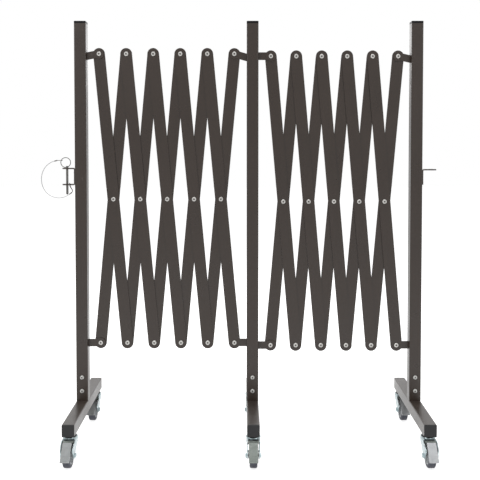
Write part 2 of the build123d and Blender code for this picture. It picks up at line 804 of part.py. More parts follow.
def make_ring():
    with BuildPart() as ring:
        with Locations(Location((ring_x, 0, ring_middle_z), (90, 0, 0))):
            Torus(ring_radius, ring_wire / 2)
    # The lanyard's eye round the ring: its sleeve takes the lanyard's first point
    first = lanyard_place(lanyard_points[0])
    second = lanyard_place(lanyard_points[1])
    along = (first - second).normalized()
    mouth = first + along * sleeve_length
    sleeve_plane = Plane(origin=mouth, x_dir=(0, 1, 0), z_dir=along)
    loop_plane = Plane(origin=mouth, x_dir=along.rotate(Axis.Y, ring_eye_dip), z_dir=(0, 0, 1))
    loop_plane = Plane(origin=mouth, x_dir=loop_plane.x_dir,
                       z_dir=loop_plane.x_dir.cross(Vector(0, 1, 0)))
    points = [loop_plane.from_local_coords(Vector(x, y, 0)) for x, y in ring_eye_points]
    return group([ring.part, make_eye(points, ring_eye_bends, sleeve_plane)])


def lanyard_place(point):
    x, y, z = point
    return Vector(x - post_width / 2, y, foot_top + z)


def make_lanyard():
    points = [lanyard_place(point) for point in lanyard_points]
    runs = [(end - start).length for start, end in zip(points, points[1:])]
    bends = []
    for number in range(1, len(points) - 1):
        turn = (points[number] - points[number - 1]).get_angle(points[number + 1] - points[number])
        shorter = min(runs[number - 1], runs[number])
        bends.append(lanyard_bend_share * shorter / tan(radians(turn / 2)))
    with BuildLine() as route:
        FilletPolyline(*points, radius=bends)
    with BuildPart() as lanyard:
        with BuildSketch(Plane(origin=route.line @ 0, z_dir=route.line % 0)):
            Circle(lanyard_wire / 2)
        sweep(path=route.line)
    print("lanyard radii", [round(bend, 1) for bend in bends], "runs", [round(run, 1) for run in runs])
    section = pi * lanyard_wire ** 2 / 4
    print("lanyard length", round(route.wire().length, 1), "volume", round(lanyard.part.volume, 2),
          "section times length", round(section * route.wire().length, 2))
    return lanyard.part


def make_anchor():
    last = lanyard_place(lanyard_points[-1])
    before = lanyard_place(lanyard_points[-2])
    along = (last - before).normalized()
    mouth = last + along * sleeve_length
    sleeve_plane = Plane(origin=mouth, x_dir=(0, 1, 0), z_dir=along)
    points = [lanyard_place(point) for point in anchor_eye_points]
    return make_eye(points, anchor_eye_bends, sleeve_plane)


# Build every piece and put it in its place
for name, x in post_places.items():
    keep(make_post(name), f"{name}_post", (x, 0, 0))
    keep(make_foot(), f"{name}_foot", (x, 0, 0))
    keep(make_caps(), f"{name}_caps", (x, 0, 0))
    keep(make_fixings(name), f"{name}_fixings", (x, 0, 0))
    for row, y in caster_rows.items():
        keep(make_fork(), f"{name}_{row}_fork", (x, y, 0))
        keep(make_wheel(), f"{name}_{row}_wheel", (x, y, 0))
        keep(make_pedal(), f"{name}_{row}_pedal", (x, y, 0))

for side in ("left", "right"):
    make_panel(side)

for name, places in post_sides.items():
    for toward, panel, link_name, lug_layer, link_layer in places:
        place = (post_places[name] + toward * pivot_offset, 0, top_z(panel))
        keep(make_link(link_tilts[link_name], link_layer, -toward), f"{link_name}_link", place)

left_place = (post_places["left"], 0, 0)
keep(make_clevis(), "pin_clevis", left_place)
keep(make_pin(), "lock_pin", left_place)
keep(make_ring(), "pull_ring", left_place)
keep(make_lanyard(), "lanyard", left_place)
keep(make_anchor(), "lanyard_anchor", left_place)
keep(make_tab(), "link_tab", (post_places["right"], 0, 0))

# The origin goes on the floor under the middle of the barrier, which its free wire takes no part in
free_wire = ("lanyard", "lanyard_anchor")
box = Compound([piece for name, piece in pieces.items() if name not in free_wire]).bounding_box()
shift = (-(box.min.X + box.max.X) / 2, -(box.min.Y + box.max.Y) / 2, 0)
print("shift", [round(step, 4) for step in shift], "size", box.size)

for name, piece in pieces.items():
    placed = piece.moved(Location(shift))
    placed.label = name
    export_step(placed, f"parts/{name}.step")
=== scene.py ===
import bpy
import bmesh
from math import cos, pi, radians, sin
from mathutils import Matrix, Vector


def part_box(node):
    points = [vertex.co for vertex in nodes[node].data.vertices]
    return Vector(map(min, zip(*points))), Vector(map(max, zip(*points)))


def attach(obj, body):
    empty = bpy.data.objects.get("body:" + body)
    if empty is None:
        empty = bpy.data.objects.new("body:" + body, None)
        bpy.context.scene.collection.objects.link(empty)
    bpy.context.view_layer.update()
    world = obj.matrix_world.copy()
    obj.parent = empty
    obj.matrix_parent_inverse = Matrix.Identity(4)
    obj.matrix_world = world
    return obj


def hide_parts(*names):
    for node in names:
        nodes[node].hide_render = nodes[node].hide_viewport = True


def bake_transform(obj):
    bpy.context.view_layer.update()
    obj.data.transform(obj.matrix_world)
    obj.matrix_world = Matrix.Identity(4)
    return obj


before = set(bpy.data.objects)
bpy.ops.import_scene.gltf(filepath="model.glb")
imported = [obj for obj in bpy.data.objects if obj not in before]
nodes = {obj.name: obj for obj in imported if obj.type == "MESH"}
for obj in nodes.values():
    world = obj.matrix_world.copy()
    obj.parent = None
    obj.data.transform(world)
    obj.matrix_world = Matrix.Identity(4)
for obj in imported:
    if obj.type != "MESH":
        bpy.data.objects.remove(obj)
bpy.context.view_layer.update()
print("frame loaded:", len(nodes), "nodes")


# Camera: lens and shift match the photograph's frame, 480 by 480
camera = {
    "place": (-0.0127, -2.7125, 1.0389),
    "tiltDown": 2.0,
    "lens": 60.09,
    "sensor": 36.0,
    "shift": (-0.0029, -0.1546),
    "clip": 60.0,
}


def makeCamera(c):
    data = bpy.data.cameras.new("camera")
    data.lens = c["lens"]
    data.sensor_width = c["sensor"]
    data.clip_end = c["clip"]
    data.shift_x, data.shift_y = c["shift"]
    cam = bpy.data.objects.new("camera", data)
    cam.location = c["place"]
    cam.rotation_euler = (radians(90 - c["tiltDown"]), 0, 0)
    bpy.context.scene.collection.objects.link(cam)
    bpy.context.scene.camera = cam


makeCamera(camera)
print("camera placed")


# ---- materials
def addNode(tree, kind, **values):
    node = tree.nodes.new(kind)
    for key, value in values.items():
        if key in node.inputs:
            node.inputs[key].default_value = value
        else:
            setattr(node, key, value)
    return node


def makeGroup(name, inputs, outputs):
    # inputs: name to (socket type, start value)
    tree = bpy.data.node_groups.new(name, "ShaderNodeTree")
    for key, (kind, value) in inputs.items():
        socket = tree.interface.new_socket(name=key, in_out="INPUT", socket_type=kind)
        socket.default_value = value
    for key, kind in outputs.items():
        tree.interface.new_socket(name=key, in_out="OUTPUT", socket_type=kind)
    return tree, tree.nodes.new("NodeGroupInput"), tree.nodes.new("NodeGroupOutput")


def makeToneGroup():
    # slow drift and fine specks of a sprayed or plated finish
    tree, into, out = makeGroup(
        "finishTone",
        {"Colour": ("NodeSocketColor", (0.1, 0.1, 0.1, 1)), "Drift": ("NodeSocketFloat", 0.1),
         "Drift Scale": ("NodeSocketFloat", 6.0), "Speck": ("NodeSocketFloat", 0.08),
         "Speck Scale": ("NodeSocketFloat", 700.0)},
        {"Colour": "NodeSocketColor", "Tone": "NodeSocketFloat"})
    links = tree.links
    place = addNode(tree, "ShaderNodeTexCoord")
    slow = addNode(tree, "ShaderNodeTexNoise", Detail=3.0, Roughness=0.55)
    fine = addNode(tree, "ShaderNodeTexNoise", Detail=2.0, Roughness=0.6)
    links.new(place.outputs["Object"], slow.inputs["Vector"])
    links.new(place.outputs["Object"], fine.inputs["Vector"])
    links.new(into.outputs["Drift Scale"], slow.inputs["Scale"])
    links.new(into.outputs["Speck Scale"], fine.inputs["Scale"])
    parts = []
    for noise, amount in ((slow, "Drift"), (fine, "Speck")):
        centred = addNode(tree, "ShaderNodeMath", operation="SUBTRACT")
        centred.inputs[1].default_value = 0.5
        scaled = addNode(tree, "ShaderNodeMath", operation="MULTIPLY")
        links.new(noise.outputs["Fac"], centred.inputs[0])
        links.new(centred.outputs[0], scaled.inputs[0])
        links.new(into.outputs[amount], scaled.inputs[1])
        parts.append(scaled)
    total = addNode(tree, "ShaderNodeMath", operation="ADD")
    links.new(parts[0].outputs[0], total.inputs[0])
    links.new(parts[1].outputs[0], total.inputs[1])
    gain = addNode(tree, "ShaderNodeMath", operation="MULTIPLY_ADD")
    gain.inputs[1].default_value = 2.0
    gain.inputs[2].default_value = 1.0
    links.new(total.outputs[0], gain.inputs[0])
    tint = addNode(tree, "ShaderNodeVectorMath", operation="SCALE")
    links.new(into.outputs["Colour"], tint.inputs[0])
    links.new(gain.outputs[0], tint.inputs["Scale"])
    links.new(tint.outputs[0], out.inputs["Colour"])
    links.new(slow.outputs["Fac"], out.inputs["Tone"])
    return tree


def makeWearGroup():
    # small chips and rubs where noise passes a threshold
    tree, into, out = makeGroup(
        "rubbedWear",
        {"Colour": ("NodeSocketColor", (0.1, 0.1, 0.1, 1)),
         "Worn": ("NodeSocketColor", (0.3, 0.3, 0.3, 1)),
         "Threshold": ("NodeSocketFloat", 0.68), "Scale": ("NodeSocketFloat", 60.0),
         "Amount": ("NodeSocketFloat", 0.5)},
        {"Colour": "NodeSocketColor", "Mask": "NodeSocketFloat"})
    links = tree.links
    place = addNode(tree, "ShaderNodeTexCoord")
    stretch = addNode(tree, "ShaderNodeMapping")
    stretch.inputs["Scale"].default_value = (1.0, 1.0, 0.35)
    noise = addNode(tree, "ShaderNodeTexNoise", Detail=5.0, Roughness=0.62)
    ramp = addNode(tree, "ShaderNodeMapRange")
    upper = addNode(tree, "ShaderNodeMath", operation="ADD")
    upper.inputs[1].default_value = 0.05
    links.new(place.outputs["Object"], stretch.inputs["Vector"])
    links.new(stretch.outputs[0], noise.inputs["Vector"])
    links.new(into.outputs["Scale"], noise.inputs["Scale"])
    links.new(noise.outputs["Fac"], ramp.inputs["Value"])
    links.new(into.outputs["Threshold"], ramp.inputs["From Min"])
    links.new(into.outputs["Threshold"], upper.inputs[0])
    links.new(upper.outputs[0], ramp.inputs["From Max"])
    mask = addNode(tree, "ShaderNodeMath", operation="MULTIPLY")
    links.new(ramp.outputs[0], mask.inputs[0])
    links.new(into.outputs["Amount"], mask.inputs[1])
    mix = addNode(tree, "ShaderNodeMix", data_type="RGBA")
    links.new(mask.outputs[0], mix.inputs["Factor"])
    links.new(into.outputs["Colour"], mix.inputs[6])
    links.new(into.outputs["Worn"], mix.inputs[7])
    links.new(mix.outputs[2], out.inputs["Colour"])
    links.new(mask.outputs[0], out.inputs["Mask"])
    return tree


def makeDustGroup():
    # pale dust on faces that look up, thicker near the floor
    tree, into, out = makeGroup(
        "settledDust",
        {"Colour": ("NodeSocketColor", (0.1, 0.1, 0.1, 1)),
         "Dust": ("NodeSocketColor", (0.45, 0.43, 0.4, 1)),
         "Amount": ("NodeSocketFloat", 0.3), "Height": ("NodeSocketFloat", 0.5)},
        {"Colour": "NodeSocketColor", "Mask": "NodeSocketFloat"})
    links = tree.links
    place = addNode(tree, "ShaderNodeTexCoord")
    split = addNode(tree, "ShaderNodeSeparateXYZ")
    normal = addNode(tree, "ShaderNodeNewGeometry")
    normalSplit = addNode(tree, "ShaderNodeSeparateXYZ")
    links.new(place.outputs["Object"], split.inputs[0])
    links.new(normal.outputs["Normal"], normalSplit.inputs[0])
    low = addNode(tree, "ShaderNodeMapRange")
    low.inputs["To Min"].default_value = 1.0
    low.inputs["To Max"].default_value = 0.15
    links.new(split.outputs["Z"], low.inputs["Value"])
    links.new(into.outputs["Height"], low.inputs["From Max"])
    up = addNode(tree, "ShaderNodeMapRange")
    up.inputs["From Min"].default_value = 0.2
    up.inputs["To Min"].default_value = 0.08
    links.new(normalSplit.outputs["Z"], up.inputs["Value"])
    noise = addNode(tree, "ShaderNodeTexNoise", Scale=45.0, Detail=4.0, Roughness=0.7)
    links.new(place.outputs["Object"], noise.inputs["Vector"])
    both = addNode(tree, "ShaderNodeMath", operation="MULTIPLY")
    patchy = addNode(tree, "ShaderNodeMath", operation="MULTIPLY")
    mask = addNode(tree, "ShaderNodeMath", operation="MULTIPLY")
    mask.use_clamp = True
    links.new(low.outputs[0], both.inputs[0])
    links.new(up.outputs[0], both.inputs[1])
    links.new(both.outputs[0], patchy.inputs[0])
    links.new(noise.outputs["Fac"], patchy.inputs[1])
    links.new(patchy.outputs[0], mask.inputs[0])
    links.new(into.outputs["Amount"], mask.inputs[1])
    mix = addNode(tree, "ShaderNodeMix", data_type="RGBA")
    links.new(mask.outputs[0], mix.inputs["Factor"])
    links.new(into.outputs["Colour"], mix.inputs[6])
    links.new(into.outputs["Dust"], mix.inputs[7])
    links.new(mix.outputs[2], out.inputs["Colour"])
    links.new(mask.outputs[0], out.inputs["Mask"])
    return tree


groups = {"tone": makeToneGroup(), "wear": makeWearGroup(), "dust": makeDustGroup()}


def makeFinish(name, f):
    # one finish: drift and specks, then rubs, then dust, over a fine bump.
    # drift, speck and grain: amount, scale; wear: amount, threshold, scale; dust: amount, height
    mat = bpy.data.materials.new(name)
    mat.use_nodes = True
    tree = mat.node_tree
    links = tree.links
    shader = tree.nodes["Principled BSDF"]
    shader.inputs["Metallic"].default_value = f["metal"]
    shader.inputs["Specular IOR Level"].default_value = f.get("specular", 0.5)
    tone = addNode(tree, "ShaderNodeGroup", node_tree=groups["tone"])
    tone.inputs["Colour"].default_value = (*f["colour"], 1)
    wear = addNode(tree, "ShaderNodeGroup", node_tree=groups["wear"])
    wear.inputs["Worn"].default_value = (*f["worn"], 1)
    dust = addNode(tree, "ShaderNodeGroup", node_tree=groups["dust"])
    for group, sockets, values in ((tone, ("Drift", "Drift Scale"), f["drift"]),
                                   (tone, ("Speck", "Speck Scale"), f["speck"]),
                                   (wear, ("Amount", "Threshold", "Scale"), f["wear"]),
                                   (dust, ("Amount", "Height"), f["dust"])):
        for socket, value in zip(sockets, values):
            group.inputs[socket].default_value = value
    links.new(tone.outputs["Colour"], wear.inputs["Colour"])
    links.new(wear.outputs["Colour"], dust.inputs["Colour"])
    links.new(dust.outputs["Colour"], shader.inputs["Base Color"])
    rough = addNode(tree, "ShaderNodeMapRange")
    rough.inputs["From Min"].default_value = 0.3
    rough.inputs["From Max"].default_value = 0.7
    rough.inputs["To Min"].default_value = f["rough"][0]
    rough.inputs["To Max"].default_value = f["rough"][1]
    links.new(tone.outputs["Tone"], rough.inputs["Value"])
    links.new(rough.outputs[0], shader.inputs["Roughness"])
    place = addNode(tree, "ShaderNodeTexCoord")
    strength, scale = f["grain"]
    grain = addNode(tree, "ShaderNodeTexNoise", Scale=scale, Detail=2.0, Roughness=0.5)
    bump = addNode(tree, "ShaderNodeBump", Strength=strength, Distance=0.0004)
    links.new(place.outputs["Object"], grain.inputs["Vector"])
    links.new(grain.outputs["Fac"], bump.inputs["Height"])
    links.new(bump.outputs[0], shader.inputs["Normal"])
    return mat


finishes = {
    "powderCoat": dict(
        colour=(0.0215, 0.0132, 0.0088), metal=0.0, specular=0.45, rough=(0.25, 0.35),
        drift=(0.10, 5.0), speck=(0.16, 900.0), worn=(0.10, 0.09, 0.085),
        wear=(0.30, 0.70, 55.0), dust=(0.10, 0.45), grain=(0.22, 1100.0)),
    "blackPlastic": dict(
        colour=(0.013, 0.013, 0.014), metal=0.0, specular=0.30, rough=(0.40, 0.56),
        drift=(0.10, 25.0), speck=(0.10, 1200.0), worn=(0.06, 0.06, 0.06),
        wear=(0.25, 0.66, 130.0), dust=(0.12, 0.5), grain=(0.25, 1500.0)),
    "capPlastic": dict(
        colour=(0.0045, 0.0045, 0.0050), metal=0.0, specular=0.12, rough=(0.34, 0.48),
        drift=(0.10, 25.0), speck=(0.08, 1200.0), worn=(0.03, 0.03, 0.03),
        wear=(0.20, 0.68, 130.0), dust=(0.04, 1.6), grain=(0.18, 1500.0)),
    "brightZinc": dict(
        colour=(0.41, 0.48, 0.495), metal=0.9, rough=(0.24, 0.44),
        drift=(0.36, 75.0), speck=(0.12, 900.0), worn=(0.15, 0.17, 0.18),
        wear=(0.55, 0.56, 95.0), dust=(0.10, 0.3), grain=(0.10, 1400.0)),
    # the next three are one plated steel in lighter and darker copies, painted light and painted
    # shade on the pedals; the darkest is also painted shade inside the forks and under their
    # crowns
    "paintedHalfLitZinc": dict(
        colour=(0.210, 0.220, 0.222), metal=0.6, rough=(0.34, 0.50),
        drift=(0.26, 55.0), speck=(0.14, 900.0), worn=(0.20, 0.20, 0.20),
        wear=(0.35, 0.60, 110.0), dust=(0.16, 0.3), grain=(0.16, 1300.0)),
    "paintedShadeZinc": dict(
        colour=(0.125, 0.142, 0.131), metal=0.6, rough=(0.34, 0.52),
        drift=(0.30, 60.0), speck=(0.14, 900.0), worn=(0.24, 0.26, 0.25),
        wear=(0.35, 0.60, 90.0), dust=(0.12, 0.3), grain=(0.16, 1300.0)),
    "paintedLitZinc": dict(
        colour=(0.34, 0.35, 0.36), metal=0.6, rough=(0.32, 0.48),
        drift=(0.22, 50.0), speck=(0.14, 900.0), worn=(0.26, 0.26, 0.27),
        wear=(0.35, 0.60, 110.0), dust=(0.12, 0.3), grain=(0.16, 1300.0)),
    "rivetSteel": dict(
        colour=(0.46, 0.45, 0.43), metal=0.85, rough=(0.28, 0.42),
        drift=(0.20, 120.0), speck=(0.08, 1500.0), worn=(0.24, 0.23, 0.22),
        wear=(0.40, 0.60, 260.0), dust=(0.05, 0.5), grain=(0.08, 1800.0)),
    "boltSteel": dict(
        colour=(0.40, 0.40, 0.385), metal=0.85, rough=(0.26, 0.40),
        drift=(0.15, 110.0), speck=(0.08, 1500.0), worn=(0.26, 0.25, 0.24),
        wear=(0.40, 0.62, 240.0), dust=(0.10, 0.5), grain=(0.10, 1800.0)),
    "pinSteel": dict(
        colour=(0.125, 0.122, 0.115), metal=0.8, rough=(0.30, 0.44),
        drift=(0.18, 90.0), speck=(0.12, 1500.0), worn=(0.10, 0.10, 0.095),
        wear=(0.40, 0.60, 220.0), dust=(0.06, 0.5), grain=(0.12, 1800.0)),
    # a dark steel, also laid as painted shade in rivet hollows, bolt sockets and on the strap
    # under each fork crown
    "darkSteelPaintedShade": dict(
        colour=(0.10, 0.094, 0.088), metal=0.6, rough=(0.45, 0.62),
        drift=(0.20, 200.0), speck=(0.12, 1500.0), worn=(0.12, 0.115, 0.11),
        wear=(0.40, 0.62, 400.0), dust=(0.0, 0.5), grain=(0.15, 1800.0)),
    "wireSteel": dict(
        colour=(0.25, 0.25, 0.255), metal=0.85, rough=(0.34, 0.48),
        drift=(0.15, 150.0), speck=(0.20, 1600.0), worn=(0.20, 0.20, 0.20),
        wear=(0.30, 0.60, 300.0), dust=(0.05, 0.5), grain=(0.5, 1500.0)),
    "treadRubber": dict(
        colour=(0.066, 0.069, 0.086), metal=0.0, specular=0.35, rough=(0.55, 0.74),
        drift=(0.16, 40.0), speck=(0.12, 900.0), worn=(0.13, 0.13, 0.14),
        wear=(0.35, 0.60, 70.0), dust=(0.22, 0.12), grain=(0.35, 1100.0)),
    "hubPlastic": dict(
        colour=(0.42, 0.44, 0.45), metal=0.0, rough=(0.36, 0.50),
        drift=(0.08, 40.0), speck=(0.05, 1200.0), worn=(0.28, 0.28, 0.28),
        wear=(0.30, 0.64, 120.0), dust=(0.16, 0.12), grain=(0.12, 1400.0)),
}
materials = {name: makeFinish(name, f) for name, f in finishes.items()}
print("finishes made:", len(materials))


# ---- finishes on the CAD pieces
def dress(name, *materialNames, choose=None):
    # choose gives the material's number from a face's middle
    mesh = nodes[name].data
    mesh.materials.clear()
    for materialName in materialNames:
        mesh.materials.append(materials[materialName])
    for face in mesh.polygons:
        face.material_index = choose(face.center) if choose else 0


postLine = sum(corner.y for corner in map(Vector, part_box("middle_post"))) / 2
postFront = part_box("middle_post")[0][1]
# from the posts' centre plane
slatFaces = {"front": (-0.0032, -0.0002), "back": (0.0002, 0.0032)}
rivet = {"reach": 0.020, "dish": 0.0033, "land": 0.0005, "slack": 1e-5}


def rivetPlaces(name):
    # middles of the slat's three rivets, from the ends of its box
    low, high = map(Vector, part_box(name))
    reach = rivet["reach"]
    leansLeft = "_front_" in name
    left, right = low.x + reach, high.x - reach
    top, foot = (left, right) if leansLeft else (right, left)
    return [Vector((top, 0, high.z - reach)), (low + high) / 2, Vector((foot, 0, low.z + reach))]


def slatFinish(name, layer):
    # 0 slat, 1 rivet, 2 painted shade in the rivet's hollow
    near, far = slatFaces[layer]
    places = rivetPlaces(name)

    def number(middle):
        if near - rivet["slack"] < middle.y - postLine < far + rivet["slack"]:
            return 0
        off = min(Vector((middle.x - place.x, middle.z - place.z)).length for place in places)
        return 2 if off < rivet["dish"] and middle.y < postLine - rivet["land"] else 1
    return number


bolt = {"heights": (0.171, 0.218), "head": 0.0044, "socket": 0.0030, "edge": 2e-4}
collar = {"low": 0.0864, "high": 0.0961}
postCap = {"low": 1.0}
forkPaintedShade = {"high": 0.0838, "reach": 0.0178}


def fixingFinish(side):
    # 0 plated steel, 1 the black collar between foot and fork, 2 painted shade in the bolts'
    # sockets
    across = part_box(f"{side}_foot")
    x = (across[0][0] + across[1][0]) / 2

    def number(middle):
        if collar["low"] < middle.z < collar["high"]:
            return 1
        off = min(Vector((middle.x - x, middle.z - height)).length for height in bolt["heights"])
        face = postFront - bolt["edge"]
        inHead = postFront - bolt["head"] + bolt["edge"] < middle.y < face
        return 2 if inHead and off < bolt["socket"] else 0
    return number


def capFinish(middle):
    # 0 the foot's caps, 1 the post's cap
    return 1 if middle.z > postCap["low"] else 0


def forkFinish(name):
    # 0 plated, 1 painted shade: a darker zinc on the inside, with the axle and the crown's
    #                            underside
    low, high = map(Vector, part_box(name))
    x = (low.x + high.x) / 2

    def number(middle):
        inside = middle.z < forkPaintedShade["high"] and abs(middle.x - x) < forkPaintedShade["reach"]
        return 1 if inside else 0
    return number


sides = ("left", "middle", "right")
# each side's pedal takes its own copy of the one zinc, lighter or darker as painted light and
# painted shade
pedalPaintedLight = {"left": "paintedHalfLitZinc", "middle": "paintedShadeZinc", "right": "paintedLitZinc"}
for side in sides:
    dress(f"{side}_post", "powderCoat")
    dress(f"{side}_foot", "powderCoat")
    dress(f"{side}_caps", "blackPlastic", "capPlastic", choose=capFinish)
    dress(f"{side}_fixings", "boltSteel", "blackPlastic", "darkSteelPaintedShade", choose=fixingFinish(side))
    for row in ("front", "rear"):
        fork = f"{side}_{row}_fork"
        dress(fork, "brightZinc", "paintedShadeZinc", choose=forkFinish(fork))
        dress(f"{side}_{row}_pedal", pedalPaintedLight[side])
for panel in ("left", "right"):
    for number in range(1, 6):
        for layer in ("front", "back"):
            name = f"{panel}_{layer}_slat_{number}"
            dress(name, "powderCoat", "rivetSteel", "darkSteelPaintedShade", choose=slatFinish(name, layer))
    for place in ("outer", "inner"):
        dress(f"{panel}_{place}_link", "powderCoat")
for name in ("pin_clevis", "link_tab"):
    dress(name, "powderCoat")
for name in ("lock_pin", "pull_ring"):
    dress(name, "pinSteel")
print("CAD pieces dressed")


# ---- new pieces
def finishPiece(bm, name, body, materialName, replaces=(), sharpAngle=32):
    bmesh.ops.recalc_face_normals(bm, faces=bm.faces)
    mesh = bpy.data.meshes.new(name)
    bm.to_mesh(mesh)
    bm.free()
    for face in mesh.polygons:
        face.use_smooth = True
    mesh.set_sharp_from_angle(angle=radians(sharpAngle))
    mesh.materials.append(materials[materialName])
    piece = bpy.data.objects.new(name, mesh)
    bpy.context.scene.collection.objects.link(piece)
    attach(piece, body)
    if replaces:
        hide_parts(*replaces)
    return piece


def spinProfile(bm, points, closed=True, steps=56):
    # points are (along the axle, out from the axle); the ring turns about X
    verts = [bm.verts.new((along, 0, out)) for along, out in points]
    pairs = list(zip(verts, verts[1:] + (verts[:1] if closed else [])))
    edges = [bm.edges.new(pair) for pair in pairs]
    bmesh.ops.spin(bm, geom=verts + edges, cent=(0, 0, 0), axis=(1, 0, 0), dvec=(0, 0, 0),
                   angle=2 * pi, steps=steps, use_merge=True, use_duplicate=False)


wheel = {
    "radius": 0.0375, "halfWidth": 0.012, "seam": 0.00012, "rim": 0.0270, "halfRim": 0.0116,
    "bossRadius": 0.0095, "halfBoss": 0.0165, "bore": 0.00405, "halfWeb": 0.0042,
    "ribs": 8, "ribWidth": 0.0019, "ribLength": 0.0186, "ribFrom": 0.0087, "ribTo": 0.0240,
    "ribEdge": 0.0004,
}


def mirrorProfile(half):
    # a point on the middle plane isn't repeated
    return half + [(-along, out) for along, out in reversed(half) if along]


def makeTyre(name, middle, node):
    w = wheel
    r, h = w["radius"], w["halfWidth"]
    half = [(-h + 0.0002, w["rim"]), (-h + 0.0002, w["rim"] + 0.0016), (-h, w["rim"] + 0.0021),
            (-h, r - 0.0045), (-h + 0.0005, r - 0.0026), (-h + 0.0017, r - 0.0011),
            (-h + 0.0036, r - 0.0002), (-h + 0.0055, r), (-0.0003, r), (0, r + w["seam"])]
    bm = bmesh.new()
    spinProfile(bm, mirrorProfile(half), steps=72)
    bmesh.ops.translate(bm, vec=middle, verts=bm.verts)
    finishPiece(bm, name, node, "treadRubber", replaces=(node,))


def makeHub(name, middle, node):
    w = wheel
    rim, boss = w["rim"], w["bossRadius"]
    end, web, flank = -w["halfBoss"], -w["halfWeb"], -w["halfRim"]
    half = [(end, w["bore"]), (end, boss - 0.0006), (end + 0.0006, boss),
            (web - 0.0012, boss + 0.0006), (web, boss + 0.0018),
            (web, rim - 0.0052), (web - 0.0014, rim - 0.0040),
            (flank + 0.0008, rim - 0.0034), (flank, rim - 0.0026), (flank, rim + 0.0001)]
    bm = bmesh.new()
    spinProfile(bm, mirrorProfile(half))
    inner, outer = w["ribFrom"], w["ribTo"]
    scale = Matrix.Diagonal((w["ribLength"], w["ribWidth"], outer - inner, 1))
    rise = Matrix.Translation((0, 0, (inner + outer) / 2))
    for number in range(w["ribs"]):
        turn = Matrix.Rotation(2 * pi * number / w["ribs"], 4, "X")
        made = bmesh.ops.create_cube(bm, size=1.0, matrix=turn @ rise @ scale)
        # each edge once, in the same order every run
        edges = list(dict.fromkeys(edge for vert in made["verts"] for edge in vert.link_edges))
        bmesh.ops.bevel(bm, geom=edges, offset=w["ribEdge"], affect="EDGES", segments=1,
                        profile=0.5, material=-1)
    bmesh.ops.translate(bm, vec=middle, verts=bm.verts)
    finishPiece(bm, name, node, "hubPlastic")


for side in sides:
    for row in ("front", "rear"):
        node = f"{side}_{row}_wheel"
        low, high = map(Vector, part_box(node))
        makeTyre(f"{side}_{row}_tyre", (low + high) / 2, node)
        makeHub(f"{side}_{row}_hub", (low + high) / 2, node)
print("wheels made")


# ---- on each fork: races over and under its crown, a spring leaf before them and a strap below.
# A race's points are (height, out from the stem), a strip's (behind the stem, height)
swivel = {
    "inset": 0.036,
    "lower": [(0.0840, 0.0125), (0.0840, 0.0194), (0.0828, 0.0198), (0.0794, 0.0190),
              (0.0778, 0.0178), (0.0768, 0.0160), (0.0768, 0.0133), (0.0776, 0.0125)],
    "upper": [(0.0861, 0.0192), (0.0861, 0.0236), (0.0875, 0.0239), (0.0886, 0.0234),
              (0.0890, 0.0224), (0.0890, 0.0200), (0.0886, 0.0192)],
    "leaf": [(-0.0205, 0.0831), (-0.0286, 0.0831), (-0.0304, 0.0826), (-0.0317, 0.0813),
             (-0.0325, 0.0795), (-0.0335, 0.0766)],
    "strap": [(-0.0160, 0.0759), (-0.0010, 0.0759), (0.0030, 0.0750), (0.0058, 0.0725),
              (0.0072, 0.0685), (0.0080, 0.0575)],
    "stripHalf": 0.0170,
    "stripThick": 0.0013,
    "stripEdge": 0.0003,
    "stripFold": 50,
}


def makeRace(name, node, profile, x, y, materialName):
    bm = bmesh.new()
    spinProfile(bm, profile)
    bmesh.ops.rotate(bm, cent=(0, 0, 0), matrix=Matrix.Rotation(-pi / 2, 3, "Y"), verts=bm.verts)
    bmesh.ops.translate(bm, vec=(x, y, 0), verts=bm.verts)
    finishPiece(bm, name, node, materialName)


def makeStrip(name, node, points, x, y, materialName):
    # a bent strip: its line along Y and Z, thickened to both sides and drawn out along X
    line = [Vector((0, along, up)) for along, up in points]
    half, thick = swivel["stripHalf"], swivel["stripThick"] / 2
    over, under = [], []
    for number, point in enumerate(line):
        run = line[min(number + 1, len(line) - 1)] - line[max(number - 1, 0)]
        square = Vector((0, -run.z, run.y)).normalized()
        over.append(point + square * thick)
        under.append(point - square * thick)
    bm = bmesh.new()
    start = Vector((x - half, y, 0))
    sideFace = bm.faces.new([bm.verts.new(point + start) for point in over + under[::-1]])
    drawn = bmesh.ops.extrude_face_region(bm, geom=[sideFace])
    moved = [each for each in drawn["geom"] if isinstance(each, bmesh.types.BMVert)]
    bmesh.ops.translate(bm, vec=(2 * half, 0, 0), verts=moved)
    bmesh.ops.recalc_face_normals(bm, faces=bm.faces)
    sharp = [edge for edge in bm.edges
             if edge.is_manifold and edge.calc_face_angle() > radians(swivel["stripFold"])]
    bmesh.ops.bevel(bm, geom=sharp, offset=swivel["stripEdge"], affect="EDGES", segments=2,
                    profile=0.5, material=-1)
    finishPiece(bm, name, node, materialName)


for side in sides:
    low, high = map(Vector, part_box(f"{side}_caps"))
    x = (low.x + high.x) / 2
    for row, y in (("front", low.y + swivel["inset"]), ("rear", high.y - swivel["inset"])):
        fork = f"{side}_{row}_fork"
        # the lower race, the leaf and the strap take the darker finishes as painted shade under
        # the crown
        makeRace(f"{side}_{row}_lower_race", fork, swivel["lower"], x, y, "paintedShadeZinc")
        makeRace(f"{side}_{row}_upper_race", fork, swivel["upper"], x, y, "brightZinc")
        makeStrip(f"{side}_{row}_leaf", fork, swivel["leaf"], x, y, "paintedShadeZinc")
        makeStrip(f"{side}_{row}_strap", fork, swivel["strap"], x, y, "darkSteelPaintedShade")
print("swivels made")


# ---- weld beads where the lattice's lower lugs meet the posts
weld = {
    "out": 0.0202, "radius": 0.0016, "half": 0.0125, "rings": 48, "sides": 10,
    "ripple": 0.22, "ripples": 9, "endShare": 1 / 8, "endRadius": 0.35,
}
# post, the lug's side of it, the slat layer that it serves and its height
lugs = [("left", 1, "front", 0.3335), ("middle", -1, "back", 0.3335),
        ("middle", 1, "front", 0.3250), ("right", -1, "back", 0.3250)]


